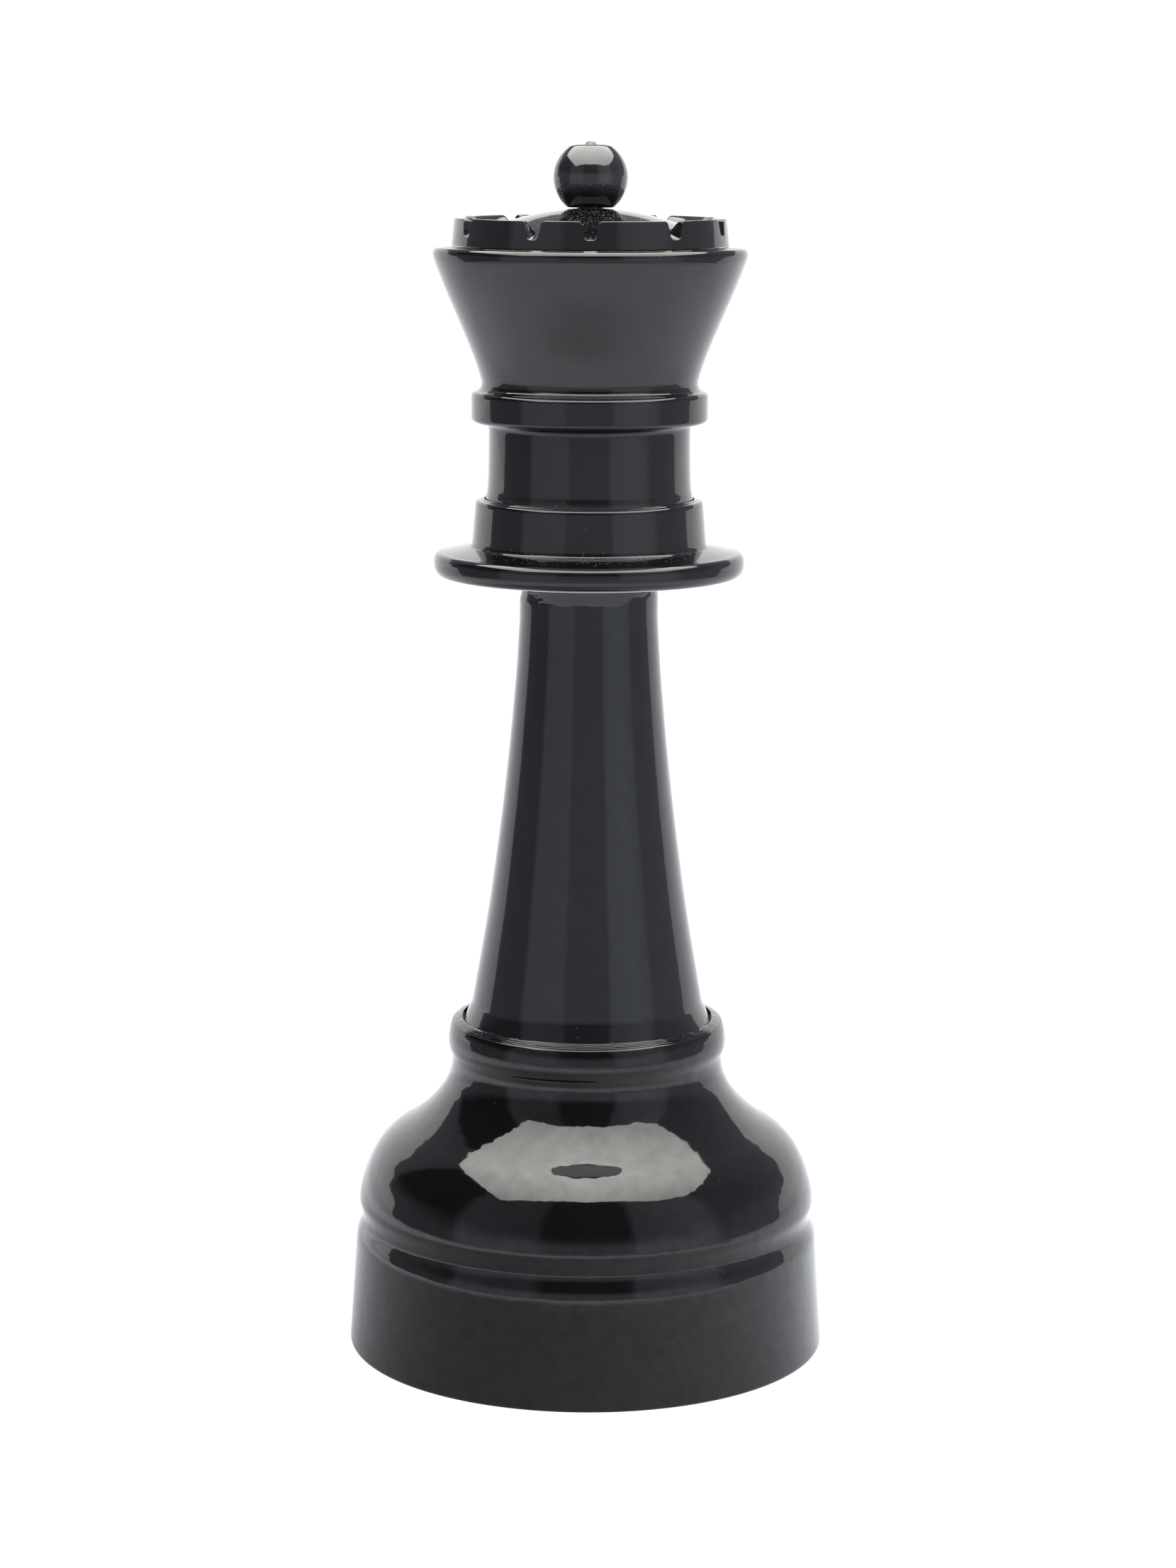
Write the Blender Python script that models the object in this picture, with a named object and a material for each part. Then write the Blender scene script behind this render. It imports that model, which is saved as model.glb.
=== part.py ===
"""A giant lawn-chess queen: a stack of hollow plastic mouldings that plug into each other.

Metres, +Z up, origin on the floor at the middle of the base. Every moulding is turned about the Z axis.
"""

import math

import bmesh
import bpy
from mathutils import Matrix, Vector

MM = 0.001
STEPS = 36  # facets round every turned piece
GAP = 0.3 * MM  # between two pieces that touch
WALL = 2.6 * MM  # of the mouldings

# Driving dimensions of the outside, in metres
BASE_R = 115.0 * MM
SKIRT_TOP_R, SKIRT_TOP_Z = 111.7 * MM, 54.0 * MM
GROOVE_R, GROOVE_Z = 108.9 * MM, 64.3 * MM
COLLAR_R, COLLAR_TOP_Z = 67.0 * MM, 161.3 * MM
STEM_TOP_R, STEM_TOP_Z = 32.9 * MM, 374.7 * MM
FLANGE_R, FLANGE_BOTTOM_Z = 73.6 * MM, 375.0 * MM
SLEEVE_TOP_R, SLEEVE_TOP_Z = 53.9 * MM, 411.5 * MM
NECK_R = 47.6 * MM
BEAD_R, BEAD_BOTTOM_Z, BEAD_TOP_Z = 55.8 * MM, 447.2 * MM, 462.6 * MM
RIM_R, RIM_TOP_Z = 73.8 * MM, 529.2 * MM
CORONET_R, CORONET_TOP_Z = 65.0 * MM, 542.1 * MM
DOME_TOP_Z, DOME_ROUNDNESS = 546.7 * MM, 142.0 * MM
BALL_R, BALL_Z = 17.4 * MM, 560.6 * MM
BALL_FOOT_Z, BALL_TOP_Z, NUB_TOP_Z = 546.9 * MM, 575.7 * MM, 577.2 * MM

# Where the mouldings plug into each other
SOCKET_R, SOCKET_FLOOR_Z, LEDGE_Z, LEDGE_R = 50.3 * MM, 118.0 * MM, 157.0 * MM, 59.9 * MM
TOP_SPIGOT_R, TOP_SPIGOT_Z = 28.0 * MM, 402.0 * MM
NECK_SPIGOT_R, NECK_SEAT_Z = 49.0 * MM, 391.0 * MM
CUP_MOUTH_R, CAP_SPIGOT_Z = 60.3 * MM, 517.0 * MM
PEG_R, PEG_BOTTOM_Z = 6.0 * MM, 533.0 * MM

# The filler under the base
CONTACT_R = (99.0 * MM, 113.6 * MM)  # the ring that stands on the floor
PANEL_Z = 6.5 * MM  # underside of the raised bottom panel
FILLER_R, FILLER_TOP_Z = 16.0 * MM, 20.0 * MM
PLUG_HEAD_R, PLUG_HEAD_Z = 21.0 * MM, (1.2 * MM, 4.2 * MM)
COIN_SLOT = (28.0 * MM, 2.4 * MM, 1.6 * MM)  # length, width, depth
SAND_TOP_Z = 58.0 * MM

# The ten notches, counted round from the front; they aren't evenly spaced
NOTCH_DEG = (0, 37, 71, 110, 146, 182, 218, 252, 298, 336)
NOTCH_TOP_WIDTH, NOTCH_FLOOR_WIDTH = 7.6 * MM, 5.4 * MM


def clear_scene():
    for obj in list(bpy.data.objects):
        bpy.data.objects.remove(obj, do_unlink=True)


def material(name, colour, roughness, metallic=0.0):
    made = bpy.data.materials.new(name)
    made.use_nodes = True
    shader = made.node_tree.nodes["Principled BSDF"]
    shader.inputs["Base Color"].default_value = (*colour, 1.0)
    shader.inputs["Roughness"].default_value = roughness
    shader.inputs["Metallic"].default_value = metallic
    made.diffuse_color = (*colour, 1.0)
    return made


def mm(*pairs):
    """Radius and height pairs in millimetres, as metres."""
    return [(r * MM, z * MM) for r, z in pairs]


def arc(centre_r, centre_z, radius, start_deg, end_deg, steps):
    """Points on a circle of the outline's plane; 0 degrees points outward and 90 up."""
    turns = [start_deg + (end_deg - start_deg) * i / steps for i in range(steps + 1)]
    return [
        (centre_r + radius * math.cos(math.radians(t)), centre_z + radius * math.sin(math.radians(t)))
        for t in turns
    ]


def catmull_rom(p, q, r, s, t):
    """The value a share t of the way from q to r, with p before them and s after."""
    cubed = 3 * q - p - 3 * r + s
    squared = 2 * p - 5 * q + 4 * r - s
    return 0.5 * (2 * q + (r - p) * t + squared * t**2 + cubed * t**3)


def smooth(points, per_span):
    """A Catmull-Rom curve through the points, ends included."""
    ends = [points[0], *points, points[-1]]
    curve = [points[0]]
    for i in range(1, len(ends) - 2):
        before, a, b, after = ends[i - 1 : i + 3]
        for step in range(1, per_span + 1):
            t = step / per_span
            curve.append(tuple(catmull_rom(*four, t) for four in zip(before, a, b, after)))
    return curve


def turned(name, outline, finish):
    """One closed piece: a closed outline of (radius, height) points spun about the Z axis."""
    work = bmesh.new()
    corners = [work.verts.new((r, 0.0, z)) for r, z in outline]
    edges = [work.edges.new(pair) for pair in zip(corners, corners[1:] + corners[:1])]
    on_axis = [edge for edge in edges if all(v.co.x < 1e-7 for v in edge.verts)]
    spun = [edge for edge in edges if edge not in on_axis]
    bmesh.ops.delete(work, geom=on_axis, context="EDGES_FACES")
    bmesh.ops.spin(
        work,
        geom=corners + spun,
        cent=(0, 0, 0),
        axis=(0, 0, 1),
        angle=2 * math.pi,
        steps=STEPS,
        use_merge=True,
    )
    bmesh.ops.remove_doubles(work, verts=work.verts, dist=1e-6)
    bmesh.ops.recalc_face_normals(work, faces=work.faces)
    mesh = bpy.data.meshes.new(name)
    work.to_mesh(mesh)
    work.free()
    mesh.materials.append(finish)
    mesh.shade_smooth()
    mesh.set_sharp_from_angle(angle=math.radians(35))
    obj = bpy.data.objects.new(name, mesh)
    bpy.context.scene.collection.objects.link(obj)
    return obj


def cut(obj, cutter):
    """Takes the cutter out of the piece; the cutter stays in the scene as a hidden wire guide."""
    cutter.hide_render = True
    cutter.display_type = "WIRE"
    boolean = obj.modifiers.new(f"cut_{cutter.name}", "BOOLEAN")
    boolean.operation = "DIFFERENCE"
    boolean.solver = "EXACT"
    boolean.object = cutter


def dome_z(radius):
    """Height of the coronet's dome at a radius: nearly a sphere, so a parabola is enough."""
    return DOME_TOP_Z - radius**2 / (2 * DOME_ROUNDNESS)


def base_shell(finish):
    """Closed vessel: collar socket on top, filler neck under the raised bottom panel."""
    socket = [(0, SOCKET_FLOOR_Z), (SOCKET_R, SOCKET_FLOOR_Z), (SOCKET_R, LEDGE_Z), (LEDGE_R, LEDGE_Z)]
    collar = [(LEDGE_R + GAP, COLLAR_TOP_Z), *mm((62.2, 161.0), (64.4, 159.3), (65.9, 157.2), (66.6, 153.5))]
    collar += [(COLLAR_R, 149.6 * MM), *mm((66.1, 145.0), (65.3, 141.0))]
    bell = mm((65.5, 138.2), (69.0, 127.6), (77.3, 117.1), (91.0, 106.5), (102.0, 96.0), (107.3, 85.4))
    bell = smooth([*bell, (110.2 * MM, 73.0 * MM)], 2)
    skirt = [(GROOVE_R, GROOVE_Z), *mm((109.5, 60.6), (110.8, 57.0)), (SKIRT_TOP_R, SKIRT_TOP_Z)]
    skirt += [(BASE_R, 3.0 * MM), (BASE_R - 0.2 * MM, 1.2 * MM), (CONTACT_R[1], 0)]
    underside = [(CONTACT_R[0], 0), (CONTACT_R[0] - 2 * MM, PANEL_Z), (FILLER_R, PANEL_Z)]
    floor_z = PANEL_Z + WALL
    neck = [(FILLER_R, FILLER_TOP_Z), (FILLER_R + WALL, FILLER_TOP_Z), (FILLER_R + WALL, floor_z)]
    inside = [(BASE_R - 4 * MM, floor_z), (SKIRT_TOP_R - WALL, SKIRT_TOP_Z)]
    inside += mm((106.0, 64.3), (107.5, 74.0), (104.5, 85.5), (99.3, 95.0), (89.0, 103.8), (75.0, 114.6))
    inside += mm((66.0, 126.6))
    inside += [(62.6 * MM, 140.0 * MM), (62.6 * MM, LEDGE_Z - WALL), (SOCKET_R + WALL, LEDGE_Z - WALL)]
    inside += [(SOCKET_R + WALL, SOCKET_FLOOR_Z - WALL), (0, SOCKET_FLOOR_Z - WALL)]
    return turned("base_shell", socket + collar + bell + skirt + underside + neck + inside, finish)


def sand_ballast(finish):
    """Fills the base to a little over the filler neck, clear of the walls."""
    low_z = PANEL_Z + WALL + GAP
    side = [
        (FILLER_R + WALL + GAP, low_z),
        (BASE_R - 4 * MM - 2 * GAP, low_z),
        (SKIRT_TOP_R - WALL - 3 * GAP, SKIRT_TOP_Z - 2 * MM),
        (SKIRT_TOP_R - WALL - 3 * MM, SAND_TOP_Z),
    ]
    neck_top = FILLER_TOP_Z + GAP
    return turned(
        "sand_ballast", [*side, (0, SAND_TOP_Z), (0, neck_top), (FILLER_R + WALL + GAP, neck_top)], finish
    )


def filler_plug(finish):
    """Screw plug: a head with a coin slot, and a hollow shank open at the top."""
    low, high = PLUG_HEAD_Z
    shank_r, shank_top = FILLER_R - GAP, 17.0 * MM
    outline = [(0, low), (PLUG_HEAD_R - MM, low), (PLUG_HEAD_R, low + MM), (PLUG_HEAD_R, high), (shank_r, high)]
    outline += [(shank_r, shank_top), (shank_r - WALL, shank_top), (shank_r - WALL, 7 * MM), (0, 7 * MM)]
    plug = turned("filler_plug", outline, finish)
    work = bmesh.new()
    length, width, depth = COIN_SLOT
    bmesh.ops.create_cube(work, size=1.0, matrix=Matrix.Diagonal((length, width, 2 * depth, 1)))
    bmesh.ops.translate(work, verts=work.verts, vec=(0, 0, low))
    mesh = bpy.data.meshes.new("coin_slot")
    work.to_mesh(mesh)
    work.free()
    slot = bpy.data.objects.new("coin_slot", mesh)
    bpy.context.scene.collection.objects.link(slot)
    cut(plug, slot)
    return plug


def plug_gasket(finish):
    low, high = PLUG_HEAD_Z[1] + GAP, PANEL_Z - GAP
    inner, outer = FILLER_R + 0.2 * MM, PLUG_HEAD_R - 0.5 * MM
    return turned("plug_gasket", [(inner, low), (outer, low), (outer, high), (inner, high)], finish)


def stem_column(finish):
    """Hollow column, open at the foot: a spigot and a foot ring below, a capped spigot on top."""
    foot_r, spigot_r, spigot_z = LEDGE_R - 0.4 * MM, SOCKET_R - GAP, SOCKET_FLOOR_Z + 2.5 * MM
    foot = [(spigot_r, spigot_z), (spigot_r, LEDGE_Z + GAP), (foot_r, LEDGE_Z + GAP), (foot_r, 160.4 * MM)]
    fillet = mm((58.7, 162.0), (57.0, 164.4), (55.8, 168.1))
    flare = mm((54.6, 173.4), (51.5, 191.0), (45.9, 226.2), (41.2, 261.4), (37.4, 296.7), (34.2, 331.9))
    flare = smooth([*flare, (STEM_TOP_R, 358.0 * MM)], 2)
    top = [(STEM_TOP_R, STEM_TOP_Z), (TOP_SPIGOT_R, STEM_TOP_Z), (TOP_SPIGOT_R, TOP_SPIGOT_Z - MM)]
    top += [(TOP_SPIGOT_R - MM, TOP_SPIGOT_Z), (0, TOP_SPIGOT_Z), (0, TOP_SPIGOT_Z - WALL)]
    inside = [(TOP_SPIGOT_R - WALL, TOP_SPIGOT_Z - WALL), (TOP_SPIGOT_R - WALL, 371.0 * MM)]
    inside += mm((30.2, 362.0), (31.6, 331.9), (38.6, 261.4), (48.9, 191.0), (51.8, 175.0))
    inside += [(spigot_r - WALL, 163.0 * MM), (spigot_r - WALL, spigot_z)]
    return turned("stem_column", foot + fillet + flare + top + inside, finish)


def crown_collar(finish):
    """Flange disc and sleeve: a socket tube below takes the stem, the sleeve takes the neck."""
    bore = TOP_SPIGOT_R + GAP
    flange = [(bore, FLANGE_BOTTOM_Z), (70.0 * MM, FLANGE_BOTTOM_Z), *mm((72.2, 376.4), (73.3, 378.6))]
    flange += [(FLANGE_R, 381.2 * MM), *mm((73.3, 383.6), (72.0, 385.2), (69.6, 386.0), (58.0, 388.6))]
    sleeve = [*mm((56.1, 390.0), (55.2, 393.0)), (SLEEVE_TOP_R, 407.6 * MM), *mm((53.5, 409.8), (52.4, 411.1))]
    mouth = NECK_SPIGOT_R + GAP
    sleeve += [(50.6 * MM, SLEEVE_TOP_Z), (mouth + 0.2 * MM, SLEEVE_TOP_Z), (mouth, SLEEVE_TOP_Z - MM)]
    inside = [(mouth, NECK_SEAT_Z), (45.0 * MM, NECK_SEAT_Z), *mm((45.0, 388.4), (52.0, 386.4), (70.2, 382.6))]
    inside += [(70.2 * MM, FLANGE_BOTTOM_Z + WALL), (bore + WALL, FLANGE_BOTTOM_Z + WALL)]
    inside += [(bore + WALL, TOP_SPIGOT_Z - MM), (bore, TOP_SPIGOT_Z - MM)]
    return turned("crown_collar", flange + sleeve + inside, finish)


def crown_cup(finish):
    """Neck, bead ring and flared cup in one tube, open at both ends."""
    foot = NECK_SEAT_Z + GAP
    neck = [(NECK_SPIGOT_R, foot), (NECK_SPIGOT_R, SLEEVE_TOP_Z), *mm((48.5, 414.6), (47.7, 424.0))]
    neck += [(NECK_R, 443.2 * MM), *mm((48.2, 445.6), (50.0, 446.9))]
    bead = [(53.4 * MM, BEAD_BOTTOM_Z), *mm((55.2, 448.3)), (BEAD_R, 450.6 * MM), (BEAD_R, 457.4 * MM)]
    bead += [*mm((55.3, 460.1), (54.0, 461.6)), (52.3 * MM, BEAD_TOP_Z), *mm((50.9, 464.5))]
    cup = smooth(mm((51.4, 467.4), (56.1, 481.5), (63.8, 499.1), (71.1, 516.7), (73.4, 523.0)), 2)
    rim = [(RIM_R, 525.2 * MM), *mm((73.1, 527.0), (71.6, 528.3), (69.4, 528.9)), (66.0 * MM, RIM_TOP_Z)]
    rim += [(CUP_MOUTH_R, RIM_TOP_Z)]
    inside = [(CUP_MOUTH_R, 498.0 * MM), *mm((53.0, 481.5), (48.4, 467.4)), (NECK_R - WALL, 445.0 * MM)]
    inside += [(NECK_R - WALL, foot)]
    return turned("crown_cup", neck + bead + cup + rim + inside, finish)


def notch_cutters():
    """Ten U-shaped prisms that run inwards and rise along the dome, in one mesh."""
    work = bmesh.new()
    inner_r, outer_r, top_z = 52.5 * MM, 70.0 * MM, CORONET_TOP_Z + 4 * MM
    half_top, half_floor = NOTCH_TOP_WIDTH / 2, NOTCH_FLOOR_WIDTH / 2
    corner = 2.0 * MM
    for turn in NOTCH_DEG:
        ends = []
        for radius in (inner_r, outer_r):
            floor_z = dome_z(radius)
            section = [(-half_top, top_z), (-half_floor, floor_z + corner)]
            section += [(-half_floor + 0.6 * corner, floor_z + 0.3 * corner), (0, floor_z)]
            section += [(-x, z) for x, z in reversed(section[:-1])]
            place = Matrix.Rotation(math.radians(turn), 4, "Z")
            ends.append([work.verts.new(place @ Vector((x, -radius, z))) for x, z in section])
        inner, outer = ends
        work.faces.new(inner)
        work.faces.new(outer[::-1])
        for i in range(len(inner)):
            j = (i + 1) % len(inner)
            work.faces.new((inner[i], outer[i], outer[j], inner[j]))
    bmesh.ops.recalc_face_normals(work, faces=work.faces)
    mesh = bpy.data.meshes.new("notch_cutters")
    work.to_mesh(mesh)
    work.free()
    obj = bpy.data.objects.new("notch_cutters", mesh)
    bpy.context.scene.collection.objects.link(obj)
    return obj


def coronet_cap(finish):
    """Notched ring and low dome, with a spigot that closes the cup and a boss for the ball's peg."""
    spigot_r, foot = CUP_MOUTH_R - GAP, RIM_TOP_Z + GAP
    ring = [(spigot_r - WALL, CAP_SPIGOT_Z), (spigot_r, CAP_SPIGOT_Z), (spigot_r, foot), (CORONET_R, foot)]
    ring += [(63.9 * MM, 540.0 * MM), *mm((63.4, 541.4)), (62.4 * MM, CORONET_TOP_Z), (61.0 * MM, CORONET_TOP_Z)]
    ring += mm((58.6, 541.2), (55.7, 539.2))
    bore = PEG_R + GAP
    dome = [(r, dome_z(r)) for r in (53 * MM, 46 * MM, 37 * MM, 27 * MM, 16 * MM, bore)]
    boss = [(bore, PEG_BOTTOM_Z), (bore + WALL, PEG_BOTTOM_Z)]
    under = [(r, dome_z(r) - WALL) for r in (bore + WALL, 24 * MM, 38 * MM, 50 * MM)]
    under += [(spigot_r - WALL, 530.5 * MM)]
    cap = turned("coronet_cap", ring + dome + boss + under, finish)
    cut(cap, notch_cutters())
    return cap


def ball_finial(finish):
    """Ball with a flat foot and a flat top, a peg below and the moulding nub on top."""
    foot_deg = math.degrees(math.asin((BALL_FOOT_Z - BALL_Z) / BALL_R))
    shoulder_deg = 56
    peg = [(0, PEG_BOTTOM_Z), (PEG_R - MM, PEG_BOTTOM_Z), (PEG_R, PEG_BOTTOM_Z + MM), (PEG_R, BALL_FOOT_Z)]
    ball = arc(0, BALL_Z, BALL_R, foot_deg, shoulder_deg, 9)
    top = [(7.4 * MM, BALL_TOP_Z - 0.1 * MM), (2.8 * MM, BALL_TOP_Z), (1.8 * MM, BALL_TOP_Z + 0.7 * MM)]
    top += [(0.9 * MM, NUB_TOP_Z), (0, NUB_TOP_Z)]
    return turned("ball_finial", peg + ball + top, finish)


def main():
    clear_scene()
    black = (0.012, 0.012, 0.014)
    pieces = {
        base_shell: ("black_base_plastic", black, 0.12),
        stem_column: ("black_stem_plastic", black, 0.12),
        crown_collar: ("black_collar_plastic", black, 0.12),
        crown_cup: ("black_cup_plastic", black, 0.12),
        coronet_cap: ("black_coronet_plastic", black, 0.12),
        ball_finial: ("black_ball_plastic", black, 0.10),
        filler_plug: ("black_plug_plastic", (0.018, 0.018, 0.020), 0.35),
        plug_gasket: ("dark_rubber", (0.03, 0.03, 0.03), 0.8),
        sand_ballast: ("dry_sand", (0.50, 0.40, 0.26), 0.95),
    }
    for build, (name, colour, roughness) in pieces.items():
        build(material(name, colour, roughness))


main()
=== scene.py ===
"""Looks of a giant lawn-chess queen: glossy black blow-moulded pieces that plug into each other.

Metres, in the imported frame. Outlines are (radius, height) pairs in millimetres above the floor, and
each one is seated so that its lowest point is where its CAD node's is.
"""

import math

import bmesh
import bpy
import numpy as np
from mathutils import Matrix, Vector, noise


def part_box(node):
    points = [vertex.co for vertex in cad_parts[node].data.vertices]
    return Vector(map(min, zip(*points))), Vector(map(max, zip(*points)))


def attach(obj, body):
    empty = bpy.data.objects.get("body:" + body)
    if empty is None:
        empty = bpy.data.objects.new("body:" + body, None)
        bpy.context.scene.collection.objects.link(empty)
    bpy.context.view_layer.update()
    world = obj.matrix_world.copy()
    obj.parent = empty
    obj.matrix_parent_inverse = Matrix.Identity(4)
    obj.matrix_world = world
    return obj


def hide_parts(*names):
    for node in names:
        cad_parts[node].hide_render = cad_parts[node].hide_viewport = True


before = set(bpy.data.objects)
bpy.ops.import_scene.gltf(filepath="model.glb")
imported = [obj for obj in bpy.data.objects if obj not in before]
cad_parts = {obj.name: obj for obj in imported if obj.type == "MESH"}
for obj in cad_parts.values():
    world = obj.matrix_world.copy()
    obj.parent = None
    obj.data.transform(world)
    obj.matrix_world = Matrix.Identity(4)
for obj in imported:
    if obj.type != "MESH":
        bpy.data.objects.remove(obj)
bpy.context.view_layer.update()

MM = 0.001
SHARP_ANGLE = math.radians(38)


# ---------------------------------------------------------------- outlines

def fair(points, spacing=1.2):
    """A cubic spline through the points, so that reflections run over it without a kink."""
    knots = np.array(points, float)
    chord = np.hypot(*np.diff(knots, axis=0).T)
    count = len(knots)
    system, wanted = np.eye(count), np.zeros((count, 2))
    for i in range(1, count - 1):
        system[i, i - 1 : i + 2] = chord[i - 1], 2 * (chord[i - 1] + chord[i]), chord[i]
        wanted[i] = 6 * ((knots[i + 1] - knots[i]) / chord[i] - (knots[i] - knots[i - 1]) / chord[i - 1])
    bend = np.linalg.solve(system, wanted)
    curve = []
    for i in range(count - 1):
        steps = max(1, round(chord[i] / spacing))
        for step in range(steps):
            b = step / steps
            a = 1 - b
            pull = ((a**3 - a) * bend[i] + (b**3 - b) * bend[i + 1]) * chord[i] ** 2 / 6
            curve.append(tuple(a * knots[i] + b * knots[i + 1] + pull))
    return curve + [tuple(points[-1])]


def arc(centre_r, centre_z, radius, start_deg, end_deg, steps):
    """Points on a circle of the outline's plane; 0 degrees points outward and 90 up."""
    turns = np.radians(np.linspace(start_deg, end_deg, steps + 1))
    return [(centre_r + radius * math.cos(t), centre_z + radius * math.sin(t)) for t in turns]


def chain(*runs):
    """Joins runs of points, without the points that two runs share."""
    joined = []
    for run in runs:
        joined += [p for i, p in enumerate(run) if i or not joined or math.dist(p, joined[-1]) > 0.02]
    return joined


def straight(start, end, spacing=3.0):
    steps = max(1, round(math.dist(start, end) / spacing))
    return [tuple(np.add(start, np.subtract(end, start) * i / steps)) for i in range(steps + 1)]


def smoothstep(low, high, value):
    t = min(1.0, max(0.0, (value - low) / (high - low)))
    return t * t * (3 - 2 * t)


# ---------------------------------------------------------------- meshes

def spun(outline, columns, node):
    """A bmesh: the closed outline turned about Z, seated on the CAD node's lowest point, in metres.

    Every vertex keeps the number of its outline point in the layer "row".
    """
    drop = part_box(node)[0].z / MM - min(z for _, z in outline)
    work = bmesh.new()
    row = work.verts.layers.int.new("row")
    corners = [work.verts.new((max(r, 0.0) * MM, 0.0, (z + drop) * MM)) for r, z in outline]
    for i, corner in enumerate(corners):
        corner[row] = i
    edges = [work.edges.new(pair) for pair in zip(corners, corners[1:] + corners[:1])]
    on_axis = [edge for edge in edges if all(v.co.x < 1e-7 for v in edge.verts)]
    kept = [edge for edge in edges if edge not in on_axis]
    bmesh.ops.delete(work, geom=on_axis, context="EDGES_FACES")
    bmesh.ops.spin(
        work,
        geom=corners + kept,
        cent=(0, 0, 0),
        axis=(0, 0, 1),
        angle=math.pi / 4,
        steps=columns // 8,
    )
    for turn in (math.pi / 4, math.pi / 2, math.pi):  # an eighth, doubled three times, is a full turn
        whole = work.verts[:] + work.edges[:] + work.faces[:]
        copy = bmesh.ops.duplicate(work, geom=whole)["geom"]
        moved = [item for item in copy if isinstance(item, bmesh.types.BMVert)]
        bmesh.ops.rotate(work, verts=moved, cent=(0, 0, 0), matrix=Matrix.Rotation(turn, 3, "Z"))
    bmesh.ops.remove_doubles(work, verts=work.verts, dist=2e-6)
    bmesh.ops.recalc_face_normals(work, faces=work.faces)
    return work


def azimuth_deg(point):
    """Degrees round the piece from its front, positive towards +X."""
    return math.degrees(math.atan2(point.x, -point.y))


def waver(work, height, wavelength, seed, floor=0.0):
    """Shallow waves in the moulding's skin, all in millimetres; the flat foot keeps its level."""
    work.normal_update()
    shift = Vector((seed * 7.3, seed * 3.1, seed * 5.7))
    for vert in work.verts:
        place = vert.co / (wavelength * MM) + shift
        swell = noise.noise(place) + 0.4 * noise.noise(place * 2.3)
        fade = smoothstep(floor, floor + 6 * MM, vert.co.z)
        vert.co += vert.normal * (height * MM * swell * fade)


def dust_weights(work, crevices):
    """Where dust lies: (radius, height, reach) in millimetres and how thick, thinning out over the reach."""
    layer = work.verts.layers.float.new("dust")
    for vert in work.verts:
        radius, height = math.hypot(vert.co.x, vert.co.y) / MM, vert.co.z / MM
        weight = 0.0
        for crevice_r, crevice_z, reach, thick in crevices:
            away = math.hypot(radius - crevice_r, height - crevice_z)
            weight = max(weight, thick * (1 - away / reach))
        vert[layer] = weight


def piece(name, work, finish, body, node):
    """Turns the bmesh into a visible piece that stands for its CAD node and rides on its body."""
    bmesh.ops.recalc_face_normals(work, faces=work.faces)
    mesh = bpy.data.meshes.new(name)
    work.to_mesh(mesh)
    work.free()
    mesh.materials.append(finish)
    mesh.shade_smooth()
    mesh.set_sharp_from_angle(angle=SHARP_ANGLE)
    obj = bpy.data.objects.new(name, mesh)
    bpy.context.scene.collection.objects.link(obj)
    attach(obj, body)
    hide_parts(node)
    return obj


# ---------------------------------------------------------------- finishes

def linear(code):
    """An sRGB hex colour as linear RGBA."""
    parts = [int(code[i : i + 2], 16) / 255 for i in (1, 3, 5)]
    return (*(c / 12.92 if c <= 0.04045 else ((c + 0.055) / 1.055) ** 2.4 for c in parts), 1.0)


def add(tree, kind, settings=None, **links):
    """Adds a node. Its settings are attributes; a link's value is a socket to join or a plain value."""
    node = tree.nodes.new(kind)
    for key, value in (settings or {}).items():
        setattr(node, key, value)
    for key, value in links.items():
        socket = node.inputs[int(key[1:])] if key[1:].isdigit() else node.inputs[key.replace("_", " ")]
        if isinstance(value, bpy.types.NodeSocket):
            tree.links.new(value, socket)
        else:
            socket.default_value = value
    return node


def new_material(name):
    made = bpy.data.materials.new(name)
    made.use_nodes = True
    tree = made.node_tree
    return made, tree, tree.nodes["Principled BSDF"]


GRAIN_SPACING = 0.55  # between grains of dust, in millimetres


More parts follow.
